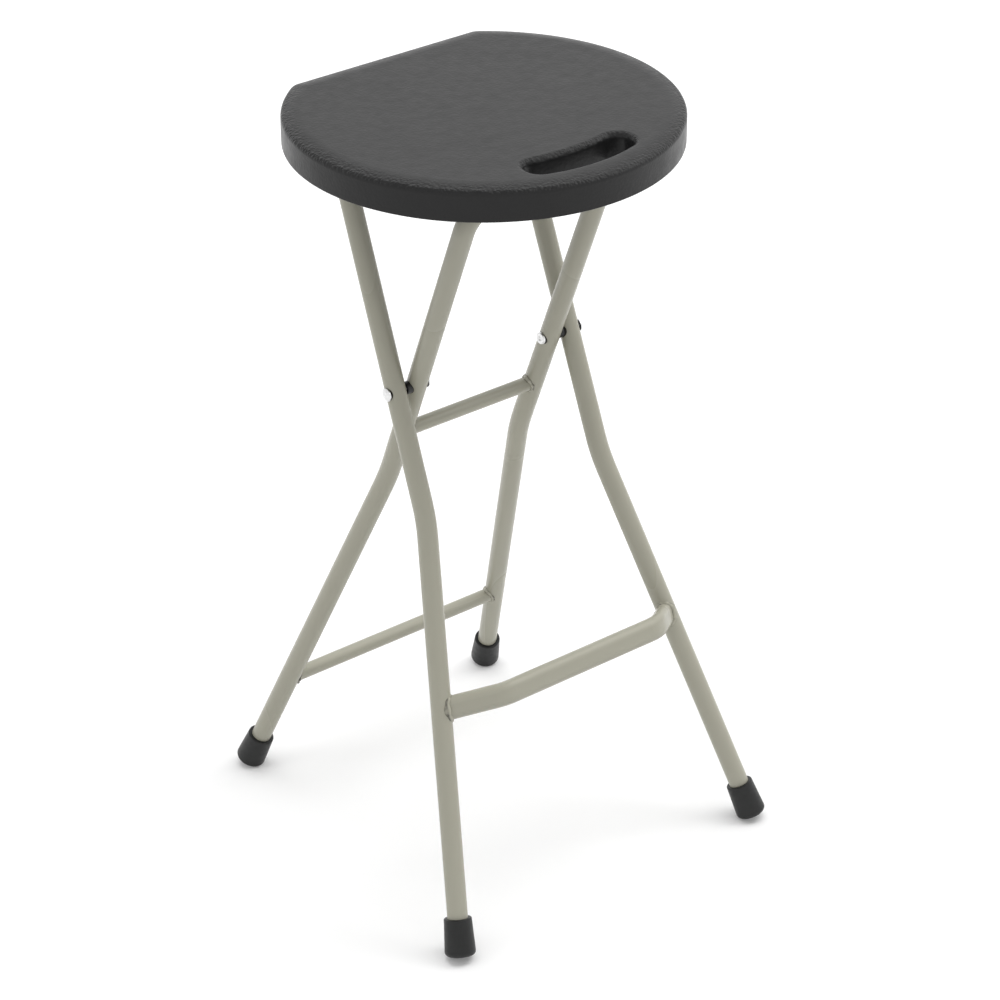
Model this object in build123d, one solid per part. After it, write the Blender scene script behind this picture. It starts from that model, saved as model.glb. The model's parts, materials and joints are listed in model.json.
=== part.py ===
from build123d import *
from math import acos, asin, atan2, cos, degrees, radians, sin, sqrt, tan
import os

# Folding stool: a hollow moulded seat on two crossed steel tube frames, all sizes in millimetres.
# The origin is on the floor under the pivot, +Z is up and -Y is the front, with slot and footrest.
# The outer frame runs from the back of the seat to the front feet, the inner frame the other way.

# Tube frames
tube_diameter = 19.7
tube_wall = 1.2
frame_lean = 21.77  # degrees from the vertical, one way for each frame
pivot_height = 496.0
inner_half_width = 79.1  # tube axis at the pivot
leg_gap = 4.2  # between the inner and the outer leg at the pivot
outer_taper = 0.75  # degrees by which each outer leg leans in towards the top
knee_drop = 124.5  # from the pivot down the frame to the bend in each leg
outer_splay = 11.14  # degrees outwards below the knee
inner_splay = 10.36  # degrees outwards below the knee
knee_radius = 180.0
top_bend_radius = 36.0

# Seat
seat_height = 754.6
seat_radius = 182.5
seat_flat = 149.4  # from the seat's centre to its straight back edge
seat_setback = -1.2  # seat's centre from the pivot, along Y
seat_thickness = 31.4
seat_wall = 3.0
seat_corner_radius = 16.0
seat_shoulder = 13.0  # width of the slope round the top
seat_shoulder_drop = 3.2
seat_shoulder_radius = 40.0
seat_rim_radius = 5.0
seat_bottom_edge = 1.0
slot_length = 115.0
slot_width = 30.9
slot_margin = 26.6  # from the slot to the seat's round edge
slot_back_radius = 200.0  # of the slot's back edge, which bows to the front
slot_corner_radius = 14.0
slot_corner_limit = 0.45  # share of the slot's end that one corner may take
slot_rim = 6.0
slot_rim_limit = 0.9  # share of the flat beside the slot that its rim may take
slot_lower_rim = 3.0

# Bars welded between the legs, placed by their drop down the frame from the pivot
crossbar_diameter = 14.2
crossbar_wall = 1.0
upper_crossbar_drop = 64.0
lower_crossbar_drop = 409.0
footrest_drop = 299.6
footrest_height = 22.8
footrest_depth = 14.4
footrest_wall = 1.2
footrest_bow = 31.8  # forward of the outer frame's plane
footrest_left_end = 52.5  # along X from the leg's axis to the bend
footrest_right_end = 38.0  # shorter than at the left
footrest_bend_radius = 30.0
weld_gap = 0.05

# Foot caps
cap_length = 36.3
cap_top_diameter = 26.5
cap_base_diameter = 30.1
cap_floor = 6.0  # rubber below the tube's end
cap_base_edge = 4.5
cap_rim_edge = 1.2
cap_fit = 0.05
foot_flat = 0.5  # worn flat on the floor

# Pivot rivets and spacers
rivet_diameter = 6.0
rivet_fit = 0.05
rivet_head_diameter = 12.8
rivet_head_rim = 1.0
rivet_head_height = 2.8
clinch_diameter = 12.0
clinch_height = 2.0
clinch_roll = 1.3
clinch_dimple = 5.0
clinch_dimple_depth = 1.0
clinch_gap = 0.15
spacer_diameter = 12.0
spacer_gap = 0.3

# Hinge straps on the outer rail, open clips on the inner rail, and their screws
strip_thickness = 1.6
strap_width = 24.0
strap_flange = 16.0
strap_inset = 7.0  # from the strap to the bend of its rail
strap_fit = 0.1
strip_bend = 1.4
clip_width = 22.0
clip_inset = 3.0
clip_plate = 16.0  # behind the hook
clip_clearance = 0.4
clip_lip = 20.0  # degrees below the level of the rail's axis
screw_diameter = 4.0
screw_length = 14.0
screw_head_diameter = 8.0
screw_head_height = 2.6
screw_recess = 1.2
screw_fit = 0.05
screw_clearance = 0.25
screw_pitch = 11.0  # between the two screws of a clip
pillar_wall = 4.0  # around each screw, inside the seat

# What follows from those sizes
tube_radius = tube_diameter / 2
outer_half_width = inner_half_width + tube_diameter + leg_gap
seat_underside = seat_height - seat_thickness
shoulder_slope = atan2(seat_shoulder_drop, seat_shoulder)
shoulder_reach = seat_shoulder + seat_shoulder_radius * tan(shoulder_slope / 2)  # in from the rim
rail_drop = tube_radius + clip_clearance + strip_thickness  # rail axes below the seat
rail_height = seat_underside - rail_drop
rail_reach = (rail_height - pivot_height) / cos(radians(frame_lean))
rail_offset = (rail_height - pivot_height) * tan(radians(frame_lean))
strap_inner_radius = tube_radius + strap_fit
strap_outer_radius = strap_inner_radius + strip_thickness
clip_inner_radius = tube_radius + clip_clearance
clip_outer_radius = clip_inner_radius + strip_thickness
BASE = (Align.CENTER, Align.CENTER, Align.MIN)


def cap_lift(tilt):
    """Height of a foot cap's base centre above the floor, for its axis tilted by this angle."""
    flat_radius = cap_base_diameter / 2 - cap_base_edge
    return flat_radius * sin(tilt) + cap_base_edge * (1 - cos(tilt)) - foot_flat


class Frame:
    """One inverted U of tube, drawn in its own plane: X across, Y up the legs, Z the normal."""

    def __init__(self, lean, pivot_half_width, taper, splay):
        angle = radians(lean)
        normal = (0, -cos(angle), sin(angle))
        self.plane = Plane(origin=(0, 0, pivot_height), x_dir=(1, 0, 0), z_dir=normal)
        self.pivot_half_width = pivot_half_width
        self.taper = tan(radians(taper))
        self.splay = radians(splay)
        tilt = acos(cos(self.splay) * cos(angle))
        self.foot_drop = (pivot_height - cap_lift(tilt)) / cos(angle)

    def half_width(self, drop):
        """Distance of a leg's axis from the middle, at this drop below the pivot."""
        above_knee = self.pivot_half_width + min(drop, knee_drop) * self.taper
        return above_knee + max(drop - knee_drop, 0) * tan(self.splay)

    def corner(self, side, drop):
        """Point on a leg's axis."""
        return Vector(side * self.half_width(drop), -drop, 0)

    def up_the_leg(self, side):
        """Direction of a leg below its knee, away from the floor."""
        return Vector(-side * sin(self.splay), cos(self.splay), 0)

    def foot(self, side):
        """Centre of the foot cap's base."""
        return self.corner(side, self.foot_drop)

    def path(self):
        """Axis of the tube from the left foot over the top rail to the right foot."""
        points = []
        for side in (-1, 1):
            end = self.foot(side) + self.up_the_leg(side) * cap_floor
            leg = [end, self.corner(side, knee_drop), self.corner(side, -rail_reach)]
            points += leg if side < 0 else leg[::-1]
        return FilletPolyline(*points, radius=[knee_radius, top_bend_radius, top_bend_radius, knee_radius])

    def rod(self, radius):
        """Solid rod of this radius along the whole frame."""
        path = self.path()
        section = Plane(origin=path @ 0, z_dir=path % 0) * Circle(radius)
        return sweep(section, path=path)

    def place(self, shape):
        """Shape drawn in the frame's plane, moved to where the frame stands."""
        return self.plane.location * shape

    def tube(self):
        """The bent tube, with its rivet holes."""
        hole_length = 2 * (self.pivot_half_width + tube_diameter)
        hole = Rot(0, 90, 0) * Cylinder(rivet_diameter / 2 + rivet_fit, hole_length)
        return self.place(self.rod(tube_radius) - self.rod(tube_radius - tube_wall) - hole)

    def crossbar(self, drop):
        """Straight round tube between the legs, its ends shaped to them."""
        length = 2 * self.half_width(drop)
        bar = Cylinder(crossbar_diameter / 2, length)
        bar -= Cylinder(crossbar_diameter / 2 - crossbar_wall, length)
        bar = Pos(0, -drop, 0) * Rot(0, 90, 0) * bar
        return self.place(bar - self.rod(tube_radius + weld_gap))

    def bowed_bar(self):
        """Flattened tube bowed forward between the legs, its ends shaped to them."""
        end = self.half_width(footrest_drop)
        left_bend = (footrest_left_end - end, footrest_bow)
        right_bend = (end - footrest_right_end, footrest_bow)
        points = [(-end, 0), left_bend, right_bend, (end, 0)]
        path = FilletPolyline(*points, radius=footrest_bend_radius)
        across = Plane(origin=path @ 0, x_dir=(0, 0, 1), z_dir=path % 0)
        bar = sweep(across * SlotOverall(footrest_height, footrest_depth), path=path)
        inner_height = footrest_height - 2 * footrest_wall
        inner_depth = footrest_depth - 2 * footrest_wall
        bar -= sweep(across * SlotOverall(inner_height, inner_depth), path=path)
        level = Plane(origin=(0, -footrest_drop, 0), x_dir=(1, 0, 0), z_dir=(0, -1, 0))
        return self.place(level.location * bar - self.rod(tube_radius + weld_gap))

    def foot_cap(self, side):
        """Tapered rubber cup on a leg's end, flat where it stands on the floor."""
        cap = Cone(cap_base_diameter / 2, cap_top_diameter / 2, cap_length, align=BASE)
        edges = cap.edges().filter_by(GeomType.CIRCLE).sort_by(Axis.Z)
        cap = fillet(edges[0], radius=cap_base_edge)
        edges = cap.edges().filter_by(GeomType.CIRCLE).sort_by(Axis.Z)
        cap = fillet(edges[-1], radius=cap_rim_edge)
        cap -= Pos(0, 0, cap_floor) * Cylinder(tube_radius + cap_fit, cap_length, align=BASE)
        cap = self.place(Plane(origin=self.foot(side), z_dir=self.up_the_leg(side)).location * cap)
        floor_size = 2 * self.half_width(self.foot_drop) + 4 * pivot_height
        return cap - Pos(0, 0, -cap_length) * Box(floor_size, floor_size, 2 * cap_length)


outer_frame = Frame(frame_lean, outer_half_width, outer_taper, outer_splay)
inner_frame = Frame(-frame_lean, inner_half_width, 0, inner_splay)
strap_place = outer_frame.half_width(-rail_reach) - top_bend_radius - strap_inset - strap_width / 2
clip_place = inner_frame.half_width(-rail_reach) - top_bend_radius - clip_inset - clip_width / 2


def pivot_plane(side):
    """Plane on the pivot axis in the middle of the stool, its Z pointing out to one side."""
    return Plane(origin=(0, 0, pivot_height), x_dir=(0, 0, 1), z_dir=(side, 0, 0))


def rivet(side):
    """Rivet through both legs: low dome outside, shank, and a rolled end with a dimple inside."""
    head_radius = rivet_head_diameter / 2
    taper_rise = head_radius * outer_frame.taper
    head_seat = outer_half_width + tube_radius + taper_rise + rivet_fit
    dome_height = rivet_head_height - rivet_head_rim
    dome_radius = (head_radius**2 + dome_height**2) / (2 * dome_height)
    head = Cylinder(head_radius, rivet_head_height, align=BASE)
    head &= Pos(0, 0, rivet_head_height - dome_radius) * Sphere(dome_radius)
    clinch = Cylinder(clinch_diameter / 2, clinch_height, align=BASE)
    clinch = fillet(clinch.edges().filter_by(GeomType.CIRCLE).sort_by(Axis.Z)[0], radius=clinch_roll)
    dimple = Cone(clinch_dimple / 2, rivet_diameter / 4, clinch_dimple_depth, align=BASE)
    clinch_base = inner_half_width - tube_radius - clinch_gap - clinch_height
    shank = Cylinder(rivet_diameter / 2, head_seat - clinch_base, align=BASE)
    body = Pos(0, 0, head_seat - clinch_base) * head + shank + clinch - dimple
    return pivot_plane(side).location * Pos(0, 0, clinch_base) * body


def spacer(side):
    """Barrel on the rivet between the two legs, with a saddle for the inner one."""
    outer_end = outer_half_width - tube_radius - spacer_gap
    barrel = Cylinder(spacer_diameter / 2, outer_end - inner_half_width, align=BASE)
    barrel -= Cylinder(rivet_diameter / 2 + rivet_fit, outer_half_width, align=BASE)
    barrel = pivot_plane(side).location * Pos(0, 0, inner_half_width) * barrel
    return barrel - inner_frame.place(inner_frame.rod(tube_radius + weld_gap))


def strap_screw_places():
    """Screw places of the hinge straps, on the underside of the seat."""
    reach = strap_outer_radius + strap_flange / 2
    return [(side * strap_place, rail_offset + end * reach) for side in (-1, 1) for end in (-1, 1)]


def clip_screw_places():
    """Screw places of the rail clips, on the underside of the seat."""
    row = -rail_offset + clip_outer_radius + clip_plate / 2
    return [(side * clip_place + end * screw_pitch / 2, row) for side in (-1, 1) for end in (-1, 1)]


def screw_holes(places, radius, top):
    """Holes for screws at these places, from under the seat up to this height."""
    start = seat_underside - rail_drop
    return [Pos(x, y, start) * Cylinder(radius, top - start, align=BASE) for x, y in places]


def bent_strip(profile, width, x, y):
    """Strip of this profile, drawn about the rail's axis as seen from +X, at this place."""
    plane = Plane(origin=(x, y, rail_height), x_dir=(0, 1, 0), z_dir=(1, 0, 0))
    return plane.location * extrude(profile, amount=width / 2, both=True)


def hinge_strap(side):
    """Saddle strap round the outer rail, with a flange to the seat on each side of it."""
    wall = Pos(0, rail_drop / 2) * Rectangle(2 * strap_outer_radius, rail_drop)
    flange_width = 2 * (strap_outer_radius + strap_flange)
    flange = Pos(0, rail_drop - strip_thickness / 2) * Rectangle(flange_width, strip_thickness)
    inside = Circle(strap_inner_radius)
    inside += Pos(0, rail_drop / 2) * Rectangle(2 * strap_inner_radius, rail_drop)
    profile = Circle(strap_outer_radius) + wall + flange - inside
    inner_corners = [
        corner
        for corner in profile.vertices()
        if abs(abs(corner.X) - strap_outer_radius) < weld_gap
        and abs(corner.Y - rail_drop + strip_thickness) < weld_gap
    ]
    profile = fillet(inner_corners, radius=strip_bend)
    strap = bent_strip(profile, strap_width, side * strap_place, rail_offset)
    return strap - screw_holes(strap_screw_places(), screw_diameter / 2 + screw_clearance, seat_underside)


def rail_clip(side):
    """Hook over the inner rail, open downwards and to the back, with a plate to the seat behind it."""
    ring = Circle(clip_outer_radius) - Circle(clip_inner_radius)
    size = 2 * clip_outer_radius
    front = Pos(-clip_outer_radius, 0) * Rectangle(size, size)
    above_lip = Rot(0, 0, clip_lip) * Pos(0, clip_outer_radius) * Rectangle(2 * size, size)
    hook = ring & front & above_lip
    plate_length = clip_outer_radius + clip_plate
    plate = Pos(plate_length / 2, rail_drop - strip_thickness / 2)
    profile = hook + plate * Rectangle(plate_length, strip_thickness)
    clip = bent_strip(profile, clip_width, side * clip_place, -rail_offset)
    return clip - screw_holes(clip_screw_places(), screw_diameter / 2 + screw_clearance, seat_underside)


def screws(places):
    """Pan-head screws up into the seat at these places, each with a cross recess."""
    head = Cylinder(screw_head_diameter / 2, screw_head_height, align=BASE)
    head = fillet(head.edges().filter_by(GeomType.CIRCLE).sort_by(Axis.Z)[0], radius=screw_head_height / 2)
    for turn in (0, 90):
        head -= Rot(0, 0, turn) * Box(screw_head_diameter / 2, screw_recess, 2 * screw_recess)
    seat_face = seat_underside - strip_thickness
    screw = Pos(0, 0, seat_face - screw_head_height) * head
    screw += Pos(0, 0, seat_face) * Cylinder(screw_diameter / 2, screw_length, align=BASE)
    return Compound(children=[Pos(x, y, 0) * screw.solid() for x, y in places])


def seat_outline(inset=0):
    """Round seat, cut straight at the back, about its own centre, and smaller all round by the inset."""
    radius = seat_radius - inset
    flat = seat_flat - inset
    outline = Circle(radius) & Pos(0, flat - radius) * Rectangle(2 * radius, 2 * radius)
    return fillet(outline.vertices(), radius=seat_corner_radius - inset)


def slot_outline(growth=0):
    """Hand slot, larger all round by the growth: its front follows the rim, its back bows the same way."""
    front_radius = seat_radius - slot_margin
    back_centre = slot_width - front_radius + slot_back_radius
    front_end = -sqrt(front_radius**2 - (slot_length / 2) ** 2)
    back_end = back_centre - sqrt(slot_back_radius**2 - (slot_length / 2) ** 2)
    corner_radius = min(slot_corner_radius, slot_corner_limit * (back_end - front_end))
    slot = Circle(front_radius + growth) & Rectangle(slot_length + 2 * growth, 2 * seat_radius)
    slot -= Pos(0, back_centre) * Circle(slot_back_radius - growth)
    return fillet(slot.vertices(), radius=corner_radius + growth)


def sloped_plate(outline, height, slope_width):
    """Plate of this outline and height, with a slope of this width round its top."""
    plate = extrude(outline, amount=height)
    top = plate.faces().sort_by(Axis.Z)[-1]
    return chamfer(top.edges(), length=slope_width, length2=slope_width * tan(shoulder_slope), reference=top)


def seat_void(pillars):
    """Hollow inside the seat, clear of the slot's wall and of the pillars around the screws."""
    slope_width = seat_shoulder - seat_wall * (1 - tan(shoulder_slope / 2))  # keeps the wall even
    void = sloped_plate(seat_outline(seat_wall), seat_thickness - 2 * seat_wall, slope_width)
    slot = extrude(slot_outline(max(slot_rim, slot_lower_rim)), amount=seat_thickness)
    void = Pos(0, seat_setback, seat_underside + seat_wall) * (void - slot)
    return void - pillars


def seat():
    """Hollow moulded seat with its hand slot and the screw holes in its underside."""
    body = sloped_plate(seat_outline(), seat_thickness, seat_shoulder)
    rim_edges = body.edges().filter_by(Plane.XY).group_by(Axis.Z)[1]  # below the slope
    body = fillet(rim_edges, radius=seat_rim_radius)
    body = fillet(body.faces().sort_by(Axis.Z)[-1].edges(), radius=seat_shoulder_radius)
    body = fillet(body.faces().sort_by(Axis.Z)[0].edges(), radius=seat_bottom_edge)
    body -= extrude(slot_outline(), amount=seat_thickness)
    upper_rim = min(slot_rim, slot_rim_limit * (slot_margin - shoulder_reach))
    body = fillet(body.faces().sort_by(Axis.Z)[-1].inner_wires()[0].edges(), radius=upper_rim)
    body = fillet(body.faces().sort_by(Axis.Z)[0].inner_wires()[0].edges(), radius=slot_lower_rim)
    places = strap_screw_places() + clip_screw_places()
    hole_radius = screw_diameter / 2 + screw_fit
    pillars = screw_holes(places, hole_radius + pillar_wall, seat_height)
    hole_top = seat_underside - strip_thickness + screw_length + screw_fit
    return Pos(0, seat_setback, seat_underside) * body - seat_void(pillars) - screw_holes(
        places, hole_radius, hole_top
    )


SIDES = {"left": -1, "right": 1}
nodes = {
    "seat_shell": seat(),
    "hinge_strap_screws": screws(strap_screw_places()),
    "rail_clip_screws": screws(clip_screw_places()),
    "outer_frame_tube": outer_frame.tube(),
    "inner_frame_tube": inner_frame.tube(),
    "footrest_bar": outer_frame.bowed_bar(),
    "upper_crossbar": inner_frame.crossbar(upper_crossbar_drop),
    "lower_crossbar": inner_frame.crossbar(lower_crossbar_drop),
}
for name, side in SIDES.items():
    nodes["hinge_strap_" + name] = hinge_strap(side)
    nodes["rail_clip_" + name] = rail_clip(side)
    nodes["pivot_rivet_" + name] = rivet(side)
    nodes["pivot_spacer_" + name] = spacer(side)
    nodes["front_foot_cap_" + name] = outer_frame.foot_cap(side)
    nodes["rear_foot_cap_" + name] = inner_frame.foot_cap(side)

os.makedirs("parts", exist_ok=True)
for name, shape in nodes.items():
    export_step(shape, "parts/" + name + ".step")

folded_angle = 2 * degrees(asin((strap_outer_radius + tube_radius) / (2 * rail_reach)))
print("rail axes at height", round(rail_height, 3), "and +-", round(rail_offset, 3), "from the pivot")
print("frames touch the straps when folded to", round(folded_angle, 2), "degrees apart")
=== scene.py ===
import json
import logging
import math
from abc import ABC, abstractmethod
from dataclasses import dataclass, field
from enum import Enum
from typing import Optional

import bmesh
import bpy
from mathutils import Matrix, Vector


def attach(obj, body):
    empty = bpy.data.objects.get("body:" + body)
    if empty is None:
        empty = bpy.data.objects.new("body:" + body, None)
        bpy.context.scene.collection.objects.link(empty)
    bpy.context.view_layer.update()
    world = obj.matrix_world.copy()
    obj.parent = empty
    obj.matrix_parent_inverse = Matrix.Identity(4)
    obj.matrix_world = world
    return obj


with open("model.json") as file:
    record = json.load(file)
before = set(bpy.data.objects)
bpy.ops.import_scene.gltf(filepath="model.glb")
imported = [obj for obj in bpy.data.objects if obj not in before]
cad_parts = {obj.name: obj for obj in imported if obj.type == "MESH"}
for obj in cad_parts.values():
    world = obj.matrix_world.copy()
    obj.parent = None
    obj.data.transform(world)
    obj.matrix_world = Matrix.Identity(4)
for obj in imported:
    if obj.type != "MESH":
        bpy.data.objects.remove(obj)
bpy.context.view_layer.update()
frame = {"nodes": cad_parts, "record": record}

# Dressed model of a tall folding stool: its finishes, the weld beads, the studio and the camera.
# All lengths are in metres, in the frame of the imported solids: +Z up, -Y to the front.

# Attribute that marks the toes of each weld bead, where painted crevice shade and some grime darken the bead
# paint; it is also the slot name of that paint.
BEAD_SHADE_AND_GRIME = "bead_shade_and_grime"
MERGE_DISTANCE = 1e-7
PATTERN_LOW = 0.3
PATTERN_HIGH = 0.7
WHITE = (1.0, 1.0, 1.0, 1.0)
SEAT_MIDDLE = (0.0, 0.0, 0.75)
log = logging.getLogger("stool")

Colour = tuple[float, float, float]
Point = tuple[float, float, float]
Socket = bpy.types.NodeSocket
Value = float | Socket


class Side(Enum):
    """Left or right half of the stool, with the sign of its X."""

    LEFT = -1
    RIGHT = 1


class Lamp(Enum):
    """What a lamp does: it lights surfaces, or only shows in shiny ones."""

    LIGHT = "light"
    REFLECTION = "reflection"


class Lean(Enum):
    """Which way a frame leans at its top, with the sign of its Y."""

    BACK = 1
    FRONT = -1


def shade(colour: Colour, factor: float) -> Colour:
    """A colour made darker or lighter by a factor."""
    return tuple(channel * factor for channel in colour)


def joint_place(name: str) -> Vector:
    """Where a joint of the record turns.

    Args:
        name: The joint's name.

    Returns:
        A point on its axis.
    """
    joints = frame["record"]["behaviour"]["joints"]
    return Vector(next(joint["pos_m"] for joint in joints if joint["name"] == name))


class Graph:
    """The node tree of a material or of the world, with short ways to add and join nodes."""

    def __init__(self, owner: bpy.types.Material | bpy.types.World) -> None:
        """Starts with an empty tree.

        Args:
            owner: The material or world that holds the tree.
        """
        owner.use_nodes = True
        self.owner = owner
        self.tree = owner.node_tree
        self.tree.nodes.clear()

    @classmethod
    def for_material(cls, name: str) -> "Graph":
        """Starts a new material of this name."""
        return cls(bpy.data.materials.new(name))

    def node(self, kind: str, inputs: Optional[dict] = None, **settings: str) -> bpy.types.Node:
        """Adds a node.

        Args:
            kind: The node's type name.
            inputs: Socket name or number to a value, or to an output socket that feeds it.
            **settings: Properties of the node itself.

        Returns:
            The new node.
        """
        made = self.tree.nodes.new(kind)
        for name, value in settings.items():
            setattr(made, name, value)
        for name, value in (inputs or {}).items():
            socket = made.inputs[name]
            if isinstance(value, Socket):
                self.tree.links.new(value, socket)
            else:
                socket.default_value = value
        return made

    def place(self) -> Socket:
        """Object coordinates of the surface."""
        return self.node("ShaderNodeTexCoord").outputs["Object"]

    def math(self, operation: str, *values: Value) -> Socket:
        """A number worked out from others by an operation."""
        return self.node("ShaderNodeMath", dict(enumerate(values)), operation=operation).outputs["Value"]

    def vector(self, operation: str, *values: Socket | Vector | Point) -> Socket:
        """A vector worked out from others by an operation."""
        made = self.node("ShaderNodeVectorMath", dict(enumerate(values)), operation=operation)
        return made.outputs["Vector"]

    def length(self, vector: Socket) -> Socket:
        """Length of a vector."""
        return self.node("ShaderNodeVectorMath", {0: vector}, operation="LENGTH").outputs["Value"]

    def along(self, vector: Socket, axis: str) -> Socket:
        """The X, Y or Z of a vector."""
        return self.node("ShaderNodeSeparateXYZ", {"Vector": vector}).outputs[axis]

    def ramp(self, value: Socket, start: float, end: float, low: Value, high: Value) -> Socket:
        """Maps a range of a value onto another, and holds it beyond the ends.

        Args:
            value: The value.
            start: Where the range starts.
            end: Where the range ends.
            low: Result at the start.
            high: Result at the end.

        Returns:
            The mapped value.
        """
        made = self.node(
            "ShaderNodeMapRange",
            {"Value": value, "From Min": start, "From Max": end, "To Min": low, "To Max": high},
        )
        return made.outputs["Result"]

    def seen_rays(self, *kinds: str) -> Socket:
        """Is 1 for rays of these kinds, and 0 for others.

        Args:
            *kinds: Names of outputs of the light path.

        Returns:
            The value.
        """
        path = self.node("ShaderNodeLightPath")
        seen = path.outputs[kinds[0]]
        for kind in kinds[1:]:
            seen = self.math("MAXIMUM", seen, path.outputs[kind])
        return seen

    def stretched(self, stretch: Point) -> Socket:
        """Object coordinates, multiplied by a factor along each axis."""
        return self.node("ShaderNodeMapping", {"Vector": self.place(), "Scale": stretch}).outputs["Vector"]

    def noise(self, size: float, detail: float = 3.0, at: Optional[Socket] = None) -> Socket:
        """Cloudy pattern.

        Args:
            size: Length of one cloud.
            detail: Number of finer layers.
            at: Coordinates, if other than the object's own.

        Returns:
            The pattern's value, about 0.5 on average.
        """
        made = self.node(
            "ShaderNodeTexNoise",
            {"Vector": at or self.place(), "Scale": 1.0 / size, "Detail": detail, "Roughness": 0.55},
        )
        return made.outputs["Fac"]

    def between(self, pattern: Socket, low: float, high: float) -> Socket:
        """Spreads the middle part of a pattern over a range from low to high."""
        return self.ramp(pattern, PATTERN_LOW, PATTERN_HIGH, low, high)

    def blend(self, pattern: Socket, first: Colour, second: Colour) -> Socket:
        """Mixes two colours by a pattern.

        Args:
            pattern: The pattern, from 0 to 1.
            first: Colour where the pattern is low.
            second: Colour where the pattern is high.

        Returns:
            The mixed colour.
        """
        mixed = self.node("ShaderNodeValToRGB", {"Fac": pattern})
        stops = mixed.color_ramp.elements
        for stop, position, colour in zip(stops, (PATTERN_LOW, PATTERN_HIGH), (first, second)):
            stop.position = position
            stop.color = (*colour, 1.0)
        return mixed.outputs["Color"]

    def inside(self, low: Point, high: Point, edge: float) -> Socket:
        """Is 1 inside a box of the object's space, and falls to 0 at its faces.

        Args:
            low: Lowest corner of the box.
            high: Highest corner of the box.
            edge: Width of the fall, inside the box.

        Returns:
            The value.
        """
        middle = (Vector(low) + Vector(high)) / 2
        half = (Vector(high) - Vector(low)) / 2
        away = self.vector("ABSOLUTE", self.vector("SUBTRACT", self.place(), middle))
        deep = self.vector("SUBTRACT", half, away)
        level = self.math("MINIMUM", self.along(deep, "X"), self.along(deep, "Y"))
        least = self.math("MINIMUM", level, self.along(deep, "Z"))
        return self.ramp(least, 0.0, edge, 0.0, 1.0)

    def darkened(self, colour: Socket, share: Socket, least: float) -> Socket:
        """A colour made darker where a share is high.

        Args:
            colour: The colour.
            share: How dark, from 0 to 1.
            least: What the colour is multiplied by where the share is 1.

        Returns:
            The darker colour.
        """
        factor = self.ramp(share, 0.0, 1.0, 1.0, least)
        scaled = self.node("ShaderNodeVectorMath", {0: colour, "Scale": factor}, operation="SCALE")
        return scaled.outputs["Vector"]

    def bump(
        self, height: Socket, depth: float, below: Optional[Socket] = None, strength: Value = 1.0
    ) -> Socket:
        """Normal of a surface raised by a pattern.

        Args:
            height: The pattern, from 0 to 1.
            depth: Height of the relief.
            below: Normal of a coarser relief under this one.
            strength: Share of the relief that shows.

        Returns:
            The new normal.
        """
        inputs = {"Height": height, "Distance": depth, "Strength": strength}
        if below is not None:
            inputs["Normal"] = below
        return self.node("ShaderNodeBump", inputs).outputs["Normal"]

    def surface(self, **sockets: Value) -> bpy.types.Material:
        """Ends the tree with a surface shader.

        Args:
            **sockets: Values of the shader's sockets, with _ for a space in a name.

        Returns:
            The finished material.
        """
        inputs = {name.replace("_", " "): value for name, value in sockets.items()}
        shader = self.node("ShaderNodeBsdfPrincipled", inputs)
        self.node("ShaderNodeOutputMaterial", {"Surface": shader.outputs["BSDF"]})
        return self.owner


@dataclass(frozen=True, kw_only=True)
class Finish(ABC):
    """A surface finish that gives one material, with a colour and a roughness that vary a little."""

    name: str
    colour: Colour
    darkest: float
    lightest: float
    roughness: float
    smoother: float
    rougher: float

    def tint(self, graph: Graph, pattern: Socket) -> Socket:
        """The colour, made darker and lighter by a pattern."""
        return graph.blend(pattern, shade(self.colour, self.darkest), shade(self.colour, self.lightest))

    def gloss(self, graph: Graph, pattern: Socket) -> Socket:
        """The roughness, made smoother and rougher by a pattern."""
        return graph.between(pattern, self.roughness - self.smoother, self.roughness + self.rougher)

    @abstractmethod
    def material(self) -> bpy.types.Material:
        """Makes the material."""


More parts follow.
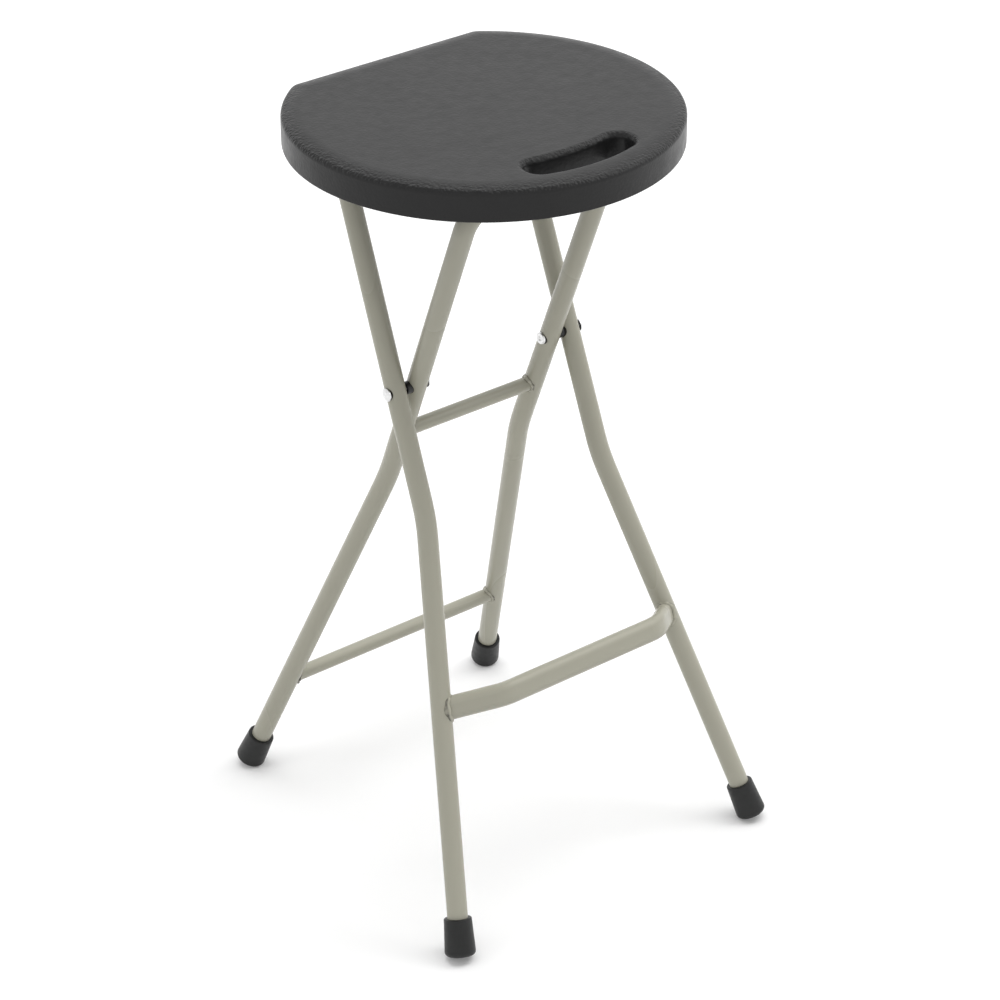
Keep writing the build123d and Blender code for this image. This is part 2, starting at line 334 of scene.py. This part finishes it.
@dataclass(frozen=True, kw_only=True)
class PebbleGrain(Finish):
    """Moulded plastic with the fine pebble grain of its mould, worn on flat faces, with painted shade inside
    a slot that darkens its colour and sheen.
    """

    slot_low: Point
    slot_high: Point
    slot_edge: float = 0.004
    slot_shade_tone: float = 0.9
    darkest: float = 0.93
    lightest: float = 1.07
    tint_cloud: float = 0.06
    roughness: float = 0.34
    smoother: float = 0.05
    rougher: float = 0.05
    gloss_cloud: float = 0.012
    sheen: float = 0.25
    pebble: float = 0.0028
    drifts_per_pebble: float = 0.7
    crown_start: float = 0.1
    crown_end: float = 0.75
    depth: float = 0.0006
    sag: float = 0.035
    sag_depth: float = 0.0003
    worn: float = 0.13
    wall_end: float = 0.2
    shoulder_start: float = 0.6
    shoulder_end: float = 0.95
    top_start: float = 0.998

    def crowns(self, graph: Graph) -> Socket:
        """Rounded pebbles of uneven outline.

        Args:
            graph: The material's node tree.

        Returns:
            Their height, from 0 to 1.
        """
        drift = graph.node(
            "ShaderNodeTexNoise",
            {"Vector": graph.place(), "Scale": self.drifts_per_pebble / self.pebble, "Detail": 2.0},
        )
        moved = graph.vector("MULTIPLY_ADD", drift.outputs["Color"], (self.pebble,) * 3, graph.place())
        cells = graph.node(
            "ShaderNodeTexVoronoi",
            {"Vector": moved, "Scale": 1.0 / self.pebble, "Smoothness": 0.6},
            feature="SMOOTH_F1",
        )
        return graph.ramp(cells.outputs["Distance"], self.crown_start, self.crown_end, 1.0, 0.0)

    def freshness(self, graph: Graph) -> Socket:
        """How much of the grain is left: worn on the top and on upright walls, fresh on the shoulder.

        Args:
            graph: The material's node tree.

        Returns:
            The share.
        """
        upward = graph.along(graph.node("ShaderNodeTexCoord").outputs["Normal"], "Z")
        above = graph.ramp(upward, self.shoulder_end, self.top_start, 1.0, self.worn)
        beside = graph.ramp(upward, self.wall_end, self.shoulder_start, self.worn, 1.0)
        return graph.math("MINIMUM", above, beside)

    def material(self) -> bpy.types.Material:
        """Makes the grained plastic.

        Returns:
            The material.
        """
        graph = Graph.for_material(self.name)
        sagged = graph.bump(graph.noise(self.sag, detail=2.0), self.sag_depth)
        normal = graph.bump(self.crowns(graph), self.depth, sagged, self.freshness(graph))
        # Painted shade: inside the slot's box the colour and the sheen are turned down by slot_shade_tone.
        slot = graph.inside(self.slot_low, self.slot_high, self.slot_edge)
        tint = self.tint(graph, graph.noise(self.tint_cloud))
        colour = graph.darkened(tint, slot, self.slot_shade_tone)
        sheen = graph.ramp(slot, 0.0, 1.0, self.sheen, self.sheen * self.slot_shade_tone)
        roughness = self.gloss(graph, graph.noise(self.gloss_cloud))
        return graph.surface(Base_Color=colour, Roughness=roughness, Normal=normal, Specular_IOR_Level=sheen)


@dataclass(frozen=True, kw_only=True)
class PowderCoat(Finish):
    """Baked satin paint on steel with a slight orange peel, darkened by painted shade, and on the beads by
    grime too.
    """

    shade_and_grime_tone: float
    darkest: float = 0.985
    lightest: float = 1.015
    tint_cloud: float = 0.5
    roughness: float = 0.27
    smoother: float = 0.02
    rougher: float = 0.02
    gloss_cloud: float = 0.3
    sheen: float = 0.42
    peel: float = 0.0016
    depth: float = 0.000006

    @abstractmethod
    def shade_and_grime(self, graph: Graph) -> Socket:
        """How dark the painted shade, and on the beads the grime, makes the paint, from 0 to 1."""

    def material(self) -> bpy.types.Material:
        """Makes the paint.

        Returns:
            The material.
        """
        graph = Graph.for_material(self.name)
        normal = graph.bump(graph.noise(self.peel, detail=2.0), self.depth)
        tint = self.tint(graph, graph.noise(self.tint_cloud, detail=0.0))
        # Painted shade, and on the beads grime, darkens the colour here.
        colour = graph.darkened(tint, self.shade_and_grime(graph), self.shade_and_grime_tone)
        roughness = self.gloss(graph, graph.noise(self.gloss_cloud, detail=0.0))
        return graph.surface(
            Base_Color=colour, Roughness=roughness, Normal=normal, Specular_IOR_Level=self.sheen
        )


@dataclass(frozen=True, kw_only=True)
class FramePaint(PowderCoat):
    """The paint of the tubes and bars, with a painted shadow in a ring under the rim of each rivet."""

    pivot_height: float
    ring_radius: float = 0.0061
    ring_edge: float = 0.0004

    def shade_and_grime(self, graph: Graph) -> Socket:
        """How deep the painted shadow is round the axis of the rivets.

        Args:
            graph: The material's node tree.

        Returns:
            The share, from 0 to 1.
        """
        # Painted shadow: the paint goes dark within the rim radius of the rivets' axis, where the gap under
        # each head lies in shade.
        off = graph.vector("SUBTRACT", graph.place(), (0.0, 0.0, self.pivot_height))
        away = graph.length(graph.vector("MULTIPLY", off, (0.0, 1.0, 1.0)))
        return graph.ramp(away, self.ring_radius, self.ring_radius + self.ring_edge, 1.0, 0.0)


@dataclass(frozen=True, kw_only=True)
class BeadPaint(PowderCoat):
    """The paint of a weld bead, dark where the bead runs out, from painted crevice shade and grime."""

    patch: float = 0.006
    least_shade_and_grime: float = 0.25

    def shade_and_grime(self, graph: Graph) -> Socket:
        """How dark painted crevice shade and grime make the paint along the bead's edges, in patches, from 0
        to 1.
        """
        edge = graph.node("ShaderNodeAttribute", attribute_name=BEAD_SHADE_AND_GRIME).outputs["Fac"]
        return graph.math("MULTIPLY", edge, graph.between(graph.noise(self.patch), self.least_shade_and_grime, 1.0))


@dataclass(frozen=True, kw_only=True)
class MouldedRubber(Finish):
    """Smooth moulded rubber or soft plastic with a little bloom."""

    darkest: float = 0.85
    lightest: float = 1.2
    bloom: float = 0.009
    roughness: float = 0.42
    smoother: float = 0.07
    rougher: float = 0.09
    gloss_cloud: float = 0.004
    sheen: float = 0.38
    dent: float = 0.008
    dent_depth: float = 0.00012
    skin: float = 0.0009
    skin_depth: float = 0.00003

    def material(self) -> bpy.types.Material:
        """Makes the rubber.

        Returns:
            The material.
        """
        graph = Graph.for_material(self.name)
        dented = graph.bump(graph.noise(self.dent, detail=1.0), self.dent_depth)
        normal = graph.bump(graph.noise(self.skin, detail=2.0), self.skin_depth, dented)
        colour = self.tint(graph, graph.noise(self.bloom))
        roughness = self.gloss(graph, graph.noise(self.gloss_cloud))
        return graph.surface(
            Base_Color=colour, Roughness=roughness, Normal=normal, Specular_IOR_Level=self.sheen
        )


@dataclass(frozen=True, kw_only=True)
class PlatedSteel(Finish):
    """Zinc-plated steel with fine drawing marks, which are long where the stretch of an axis is small."""

    darkest: float = 0.88
    lightest: float = 1.06
    spangle: float = 0.0024
    smoother: float = 0.05
    rougher: float = 0.08
    mark: float = 0.0006
    stretch: Point = (1.0, 1.0, 1.0)
    depth: float = 0.00001

    def material(self) -> bpy.types.Material:
        """Makes the plated steel.

        Returns:
            The material.
        """
        graph = Graph.for_material(self.name)
        marks = graph.noise(self.mark, at=graph.stretched(self.stretch))
        normal = graph.bump(marks, self.depth)
        colour = self.tint(graph, graph.noise(self.spangle))
        roughness = self.gloss(graph, marks)
        return graph.surface(Base_Color=colour, Roughness=roughness, Normal=normal, Metallic=1.0)


SEAT_PLASTIC = PebbleGrain(
    name="seat_plastic_grain",
    colour=(0.0142, 0.0142, 0.0144),
    # The box where painted shade darkens the inside of the handle slot.
    slot_low=(-0.066, -0.17, 0.7),
    slot_high=(0.066, -0.11, 0.753),
)
FRAME_PAINT = FramePaint(
    name="frame_powder_coat",
    colour=(0.402, 0.391, 0.318),
    # shade_and_grime_tone sets the depth of the painted shadow in the ring round the rivets.
    shade_and_grime_tone=0.06,
    pivot_height=joint_place("fold").z,
)
# The bead paint is a lighter copy of the frame paint: a painted highlight on the beads.
BEAD_PAINT = BeadPaint(name="bead_powder_coat", colour=(0.42, 0.408, 0.331), shade_and_grime_tone=0.16)
FOOT_RUBBER = MouldedRubber(name="foot_rubber_black", colour=(0.0098, 0.0103, 0.0101))
SPACER_PLASTIC = MouldedRubber(
    name="spacer_plastic_black", colour=(0.012, 0.012, 0.0125), roughness=0.34
)
RIVET_STEEL = PlatedSteel(
    name="rivet_bright_plate", colour=(0.77, 0.77, 0.77), roughness=0.28, depth=0.00002
)
STRIP_STEEL = PlatedSteel(
    name="strip_zinc_plate", colour=(0.62, 0.63, 0.64), roughness=0.3, stretch=(0.15, 1.0, 1.0)
)
SCREW_STEEL = PlatedSteel(
    name="screw_zinc_plate", colour=(0.6, 0.6, 0.61), roughness=0.27, stretch=(1.0, 1.0, 0.2)
)


class Wardrobe:
    """The finishes of the record's material slots and of the weld beads, each made once."""

    FINISHES: dict[str, Finish] = {
        "seat_plastic": SEAT_PLASTIC,
        "frame_paint": FRAME_PAINT,
        "foot_rubber": FOOT_RUBBER,
        "spacer_plastic": SPACER_PLASTIC,
        "rivet_steel": RIVET_STEEL,
        "zinc_steel": STRIP_STEEL,
        "screw_steel": SCREW_STEEL,
        BEAD_SHADE_AND_GRIME: BEAD_PAINT,
    }

    def __init__(self) -> None:
        """Makes every finish."""
        self.materials = {slot: finish.material() for slot, finish in self.FINISHES.items()}

    def dress(self, piece: bpy.types.Object, slot: str) -> None:
        """Gives a piece the finish of a slot.

        Args:
            piece: The piece.
            slot: The record's material slot, or BEAD_SHADE_AND_GRIME for a weld bead.
        """
        if not piece.material_slots:
            piece.data.materials.append(self.materials[slot])
        for material_slot in piece.material_slots:
            material_slot.material = self.materials[slot]

    def dress_solids(self) -> None:
        """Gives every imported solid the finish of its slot."""
        for row in frame["record"]["subparts"]:
            self.dress(frame["nodes"][row["node"]], row["material_slot"])
            log.info("solid %s has finish %s", row["node"], row["material_slot"])


@dataclass
class TubeFrame:
    """One inverted U of tube, known by the line of its legs."""

    body: str
    lean: Lean
    pivot_half_width: float
    taper: float
    splay: float
    pivot: Vector
    lean_angle: float
    tube_radius: float = 0.00985
    knee_drop: float = 0.1245

    def point(self, across: float, drop: float) -> Vector:
        """The point at a distance across from the middle and a drop down the plane from the pivot."""
        return self.pivot + Vector((across, 0.0, 0.0)) - self.up() * drop

    def up(self) -> Vector:
        """Direction up the frame's plane."""
        return Vector((0.0, self.lean.value * math.sin(self.lean_angle), math.cos(self.lean_angle)))

    def normal(self) -> Vector:
        """Direction off the frame's plane, to the front."""
        return Vector((1.0, 0.0, 0.0)).cross(self.up())

    def half_width(self, drop: float) -> float:
        """Distance along X of a leg's axis from the middle, at a drop down the plane from the pivot."""
        above = self.pivot_half_width + min(drop, self.knee_drop) * math.tan(self.taper)
        return above + max(drop - self.knee_drop, 0.0) * math.tan(self.splay)

    def leg_direction(self, side: Side, drop: float) -> Vector:
        """Unit direction of a leg's axis, upwards, at a drop down the plane from the pivot."""
        angle = self.splay if drop > self.knee_drop else self.taper
        return Vector((-side.value * math.sin(angle), 0.0, 0.0)) + self.up() * math.cos(angle)


@dataclass
class Weld:
    """The bead round a bar's end where it meets a leg."""

    name: str
    tubes: TubeFrame
    side: Side
    drop: float
    inward: Vector
    half_height: float
    half_depth: float
    bead: float = 0.0019
    ripples: int = 10
    ripple_depth: float = 0.2
    lump: float = 0.7
    lump_turn: float = 0.0
    lump_spread: float = 0.6
    sink: float = 0.0
    corner_power: float = 0.4
    crevice_start: float = 0.95
    crevice_width: float = 0.2
    steps: int = 128
    sides: int = 16

    def outline(self, turn: float) -> tuple[float, float]:
        """Point on the bar's flattened outline.

        Args:
            turn: Angle round the bar, from its height towards its depth.

        Returns:
            Distances along the bar's height and its depth.
        """
        straight = math.copysign(self.half_height - self.half_depth, math.cos(turn))
        high = math.cos(turn) * self.half_depth + straight * abs(math.cos(turn)) ** self.corner_power
        return high, math.sin(turn) * self.half_depth

    def build(self) -> bpy.types.Object:
        """Makes the bead.

        Returns:
            The bead's object.
        """
        mesh = bmesh.new()
        ring = bmesh.ops.create_circle(mesh, segments=self.sides, radius=self.bead)
        turned = Matrix.Translation((self.half_depth, 0.0, 0.0)) @ Matrix.Rotation(math.pi / 2, 4, "X")
        bmesh.ops.transform(mesh, matrix=turned, verts=ring["verts"])
        bmesh.ops.spin(
            mesh, geom=mesh.verts[:] + mesh.edges[:], axis=(0, 0, 1), cent=(0, 0, 0),
            angle=2 * math.pi, steps=self.steps, use_merge=True,
        )
        bmesh.ops.remove_doubles(mesh, verts=mesh.verts[:], dist=MERGE_DISTANCE)
        self.fit_to_leg(mesh)
        bmesh.ops.recalc_face_normals(mesh, faces=mesh.faces[:])
        for face in mesh.faces:
            face.smooth = True
        data = bpy.data.meshes.new(self.name)
        mesh.to_mesh(data)
        mesh.free()
        piece = bpy.data.objects.new(self.name, data)
        bpy.context.scene.collection.objects.link(piece)
        return piece

    def swell(self, turn: float) -> float:
        """Share of the plain thickness at an angle round the bar, with ripples and one thicker lump."""
        off = math.remainder(turn - self.lump_turn, 2 * math.pi) / self.lump_spread
        return 1.0 + self.ripple_depth * math.sin(self.ripples * turn) + self.lump * math.exp(-off * off)

    def fit_to_leg(self, mesh: bmesh.types.BMesh) -> None:
        """Moves a plain ring onto the line where the bar meets the leg, and marks the toes where painted
        shade and grime will darken it.

        Args:
            mesh: The ring, about the Z axis.
        """
        axis_point = self.tubes.point(self.side.value * self.tubes.half_width(self.drop), self.drop)
        leg = self.tubes.leg_direction(self.side, self.drop)
        height = self.tubes.up() - self.inward * self.tubes.up().dot(self.inward)
        height.normalize()
        depth = self.inward.cross(height)
        bead_shade_and_grime = mesh.verts.layers.float.new(BEAD_SHADE_AND_GRIME)
        for vertex in mesh.verts:
            turn = math.atan2(vertex.co.y, vertex.co.x)
            swell = self.swell(turn)
            out = (math.hypot(vertex.co.x, vertex.co.y) - self.half_depth) * swell
            along = vertex.co.z * swell
            crown = (out + along) / (math.sqrt(2.0) * self.bead * swell)
            # Painted shade and grime: 1 at the bead's toes where it meets the tubes, fading to 0 at its
            # crest.
            vertex[bead_shade_and_grime] = min(max((self.crevice_start - crown) / self.crevice_width, 0.0), 1.0)
            high, deep = self.outline(turn)
            on_bar = height * high + depth * deep
            outward = (height * math.cos(turn) + depth * math.sin(turn)).normalized()
            reach = self.reach_to_leg(on_bar, leg)
            vertex.co = axis_point + on_bar + outward * out + self.inward * (reach + along - self.sink)

    def reach_to_leg(self, on_bar: Vector, leg: Vector) -> float:
        """Distance along the bar from the leg's axis to the leg's surface.

        Args:
            on_bar: Offset of a line on the bar from the bar's axis.
            leg: Direction of the leg.

        Returns:
            The distance.
        """
        across = self.inward - leg * self.inward.dot(leg)
        offset = on_bar - leg * on_bar.dot(leg)
        square = across.length_squared
        half = across.dot(offset)
        rest = offset.length_squared - self.tubes.tube_radius**2
        return (-half + math.sqrt(max(half * half - square * rest, 0.0))) / square


@dataclass
class Welding:
    """All weld beads of the two frames."""

    wardrobe: Wardrobe
    outer: TubeFrame
    inner: TubeFrame
    crossbar_radius: float = 0.0071
    crossbar_drops: dict[str, float] = field(default_factory=lambda: {"upper": 0.064, "lower": 0.409})
    footrest_drop: float = 0.2996
    footrest_half_height: float = 0.0114
    footrest_half_depth: float = 0.0072
    footrest_bow: float = 0.0318
    footrest_ends: dict[Side, float] = field(
        default_factory=lambda: {Side.LEFT: 0.0525, Side.RIGHT: 0.038}
    )
    footrest_bead: float = 0.0022
    footrest_ripples: int = 9
    footrest_lump: float = 0.6
    footrest_lump_spread: float = 0.8
    footrest_sink: float = 0.0014

    def footrest_weld(self, side: Side) -> Weld:
        """The bead at one end of the footrest, thickest at the front.

        Args:
            side: Which end.

        Returns:
            The bead.
        """
        inward = Vector((-side.value * self.footrest_ends[side], 0.0, 0.0))
        inward += self.outer.normal() * self.footrest_bow
        return Weld(
            name=f"footrest_weld_{side.name.lower()}",
            tubes=self.outer,
            side=side,
            drop=self.footrest_drop,
            inward=inward.normalized(),
            half_height=self.footrest_half_height,
            half_depth=self.footrest_half_depth,
            bead=self.footrest_bead,
            ripples=self.footrest_ripples,
            lump=self.footrest_lump,
            lump_turn=-side.value * math.pi / 2,
            lump_spread=self.footrest_lump_spread,
            sink=self.footrest_sink,
        )

    def crossbar_weld(self, bar: str, side: Side) -> Weld:
        """The bead at one end of a crossbar, thickest at the top.

        Args:
            bar: Which crossbar.
            side: Which end.

        Returns:
            The bead.
        """
        return Weld(
            name=f"{bar}_crossbar_weld_{side.name.lower()}",
            tubes=self.inner,
            side=side,
            drop=self.crossbar_drops[bar],
            inward=Vector((-side.value, 0.0, 0.0)),
            half_height=self.crossbar_radius,
            half_depth=self.crossbar_radius,
        )

    def welds(self) -> list[Weld]:
        """The bead at each end of each bar.

        Returns:
            The beads, side by side.
        """
        made = []
        for side in Side:
            made.append(self.footrest_weld(side))
            for bar in self.crossbar_drops:
                made.append(self.crossbar_weld(bar, side))
        return made

    def build(self) -> None:
        """Makes the beads, in the paint of the frames."""
        for weld in self.welds():
            piece = weld.build()
            self.wardrobe.dress(piece, BEAD_SHADE_AND_GRIME)
            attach(piece, weld.tubes.body)
            log.info("bead %s rides on %s", weld.name, weld.tubes.body)


@dataclass(frozen=True)
class Softbox:
    """A square soft lamp, which lights surfaces or only shows in shiny ones."""

    name: str
    place: Point
    aim: Point
    size: float
    power: float
    kind: Lamp

    def hang(self) -> None:
        """Hangs the lamp, facing its aim."""
        lamp = bpy.data.lights.new(self.name, "AREA")
        lamp.shape = "SQUARE"
        lamp.size = self.size
        lamp.energy = self.power
        holder = bpy.data.objects.new(self.name, lamp)
        holder.location = self.place
        facing = Vector(self.aim) - Vector(self.place)
        holder.rotation_euler = facing.to_track_quat("-Z", "Y").to_euler()
        holder.visible_glossy = self.kind is Lamp.REFLECTION
        holder.visible_diffuse = self.kind is Lamp.LIGHT
        bpy.context.scene.collection.objects.link(holder)
        log.info("lamp %s hangs", self.name)


@dataclass
class Studio:
    """Pale floor, soft light and the camera."""

    camera_place: Point = (-1.68565, -2.15274, 1.93082)
    azimuth: float = -38.377
    elevation: float = 30.136
    camera_roll: float = -0.06
    camera_shift: float = -0.0002
    camera_reach: float = 50.0
    lens: float = 118.64
    floor_half: float = 6.0
    floor_colour: Colour = (0.86, 0.86, 0.86)
    floor_cloud: float = 0.5
    floor_darkest: float = 0.995
    floor_lift: float = 0.13
    far_lift: float = 0.67
    lift_start: float = 0.5
    lift_end: float = 4.0
    world_light: float = 0.54
    wall_top: float = 0.5
    ceiling_start: float = 0.84
    ceiling_light: float = 0.46
    lamps: tuple[Softbox, ...] = (
        Softbox("top_light", (0.2, 0.3, 2.9), (0.0, 0.0, 0.3), size=2.6, power=54.0, kind=Lamp.LIGHT),
        Softbox("right_light", (1.75, -0.75, 2.8), (0.0, 0.0, 0.5), size=1.4, power=28.0, kind=Lamp.LIGHT),
        Softbox("left_light", (-2.3, 0.7, 2.1), (0.0, 0.0, 0.3), size=1.0, power=6.0, kind=Lamp.LIGHT),
        Softbox("front_box", (1.65, -0.95, 2.6), SEAT_MIDDLE, size=2.2, power=20.0, kind=Lamp.REFLECTION),
        Softbox("back_box", (1.1, 1.1, 2.85), SEAT_MIDDLE, size=1.6, power=7.0, kind=Lamp.REFLECTION),
    )

    def floor_material(self) -> bpy.types.Material:
        """Makes the pale matt floor, lifted to white for the camera and for reflections.

        Returns:
            The material.
        """
        graph = Graph.for_material("studio_floor_pale")
        cloudy = graph.noise(self.floor_cloud)
        colour = graph.blend(cloudy, shade(self.floor_colour, self.floor_darkest), self.floor_colour)
        matt = graph.node("ShaderNodeBsdfDiffuse", {"Color": colour})
        seen = graph.seen_rays("Is Camera Ray", "Is Glossy Ray", "Is Transmission Ray")
        away = graph.length(graph.place())
        lift = graph.ramp(away, self.lift_start, self.lift_end, self.floor_lift, self.far_lift)
        strength = graph.math("MULTIPLY", seen, lift)
        glow = graph.node("ShaderNodeEmission", {"Color": WHITE, "Strength": strength})
        both = graph.node("ShaderNodeAddShader", {0: matt.outputs["BSDF"], 1: glow.outputs["Emission"]})
        graph.node("ShaderNodeOutputMaterial", {"Surface": both.outputs["Shader"]})
        return graph.owner

    def floor(self) -> None:
        """Lays the floor, which keeps the stool's shadow and shows as white elsewhere."""
        mesh = bmesh.new()
        bmesh.ops.create_grid(mesh, x_segments=4, y_segments=4, size=self.floor_half)
        data = bpy.data.meshes.new("studio_floor")
        mesh.to_mesh(data)
        mesh.free()
        piece = bpy.data.objects.new("studio_floor", data)
        bpy.context.scene.collection.objects.link(piece)
        data.materials.append(self.floor_material())

    def sky(self) -> None:
        """Surrounds the stool with even light, white to the camera, with a dim ceiling in reflections."""
        world = bpy.data.worlds.new("studio_world")
        bpy.context.scene.world = world
        graph = Graph(world)
        upward = graph.along(graph.node("ShaderNodeTexCoord").outputs["Generated"], "Z")
        mirrored = graph.ramp(upward, self.wall_top, self.ceiling_start, 1.0, self.ceiling_light)
        seen = graph.seen_rays("Is Camera Ray", "Is Transmission Ray")
        plain = graph.ramp(seen, 0.0, 1.0, self.world_light, 1.0)
        glossy = graph.seen_rays("Is Glossy Ray")
        strength = graph.ramp(glossy, 0.0, 1.0, plain, mirrored)
        background = graph.node("ShaderNodeBackground", {"Color": WHITE, "Strength": strength})
        graph.node("ShaderNodeOutputWorld", {"Surface": background.outputs["Background"]})

    def camera(self) -> None:
        """Sets the camera at the angle of the photograph."""
        data = bpy.data.cameras.new("camera")
        data.lens = self.lens
        data.clip_end = self.camera_reach
        data.shift_x = self.camera_shift
        holder = bpy.data.objects.new("camera", data)
        holder.location = self.camera_place
        turned = Matrix.Rotation(math.radians(self.azimuth), 3, "Z")
        tilted = Matrix.Rotation(math.radians(90.0 - self.elevation), 3, "X")
        rolled = Matrix.Rotation(math.radians(self.camera_roll), 3, "Z")
        holder.rotation_euler = (turned @ tilted @ rolled).to_euler()
        bpy.context.scene.collection.objects.link(holder)
        bpy.context.scene.camera = holder

    def build(self) -> None:
        """Makes the floor, the light and the camera."""
        self.floor()
        self.sky()
        for lamp in self.lamps:
            lamp.hang()
        self.camera()
        bpy.context.scene.view_settings.view_transform = "Standard"


def tube_frames() -> tuple[TubeFrame, TubeFrame]:
    """The outer and the inner frame, placed by the record's joints.

    Returns:
        The outer and the inner frame.
    """
    pivot = joint_place("fold")
    rail = joint_place("seat_flip")
    lean = math.atan2(rail.y - pivot.y, rail.z - pivot.z)
    outer = TubeFrame(
        body="outer_frame",
        lean=Lean.BACK,
        pivot_half_width=0.103,
        taper=math.radians(0.75),
        splay=math.radians(11.14),
        pivot=pivot,
        lean_angle=lean,
    )
    inner = TubeFrame(
        body="inner_frame",
        lean=Lean.FRONT,
        pivot_half_width=0.0791,
        taper=0.0,
        splay=math.radians(10.36),
        pivot=pivot,
        lean_angle=lean,
    )
    return outer, inner


def main() -> None:
    """Dresses the solids, adds the beads and sets the studio."""
    logging.basicConfig(level=logging.INFO, format="%(name)s: %(message)s")
    wardrobe = Wardrobe()
    wardrobe.dress_solids()
    Welding(wardrobe, *tube_frames()).build()
    Studio().build()


if __name__ == "__main__":
    main()
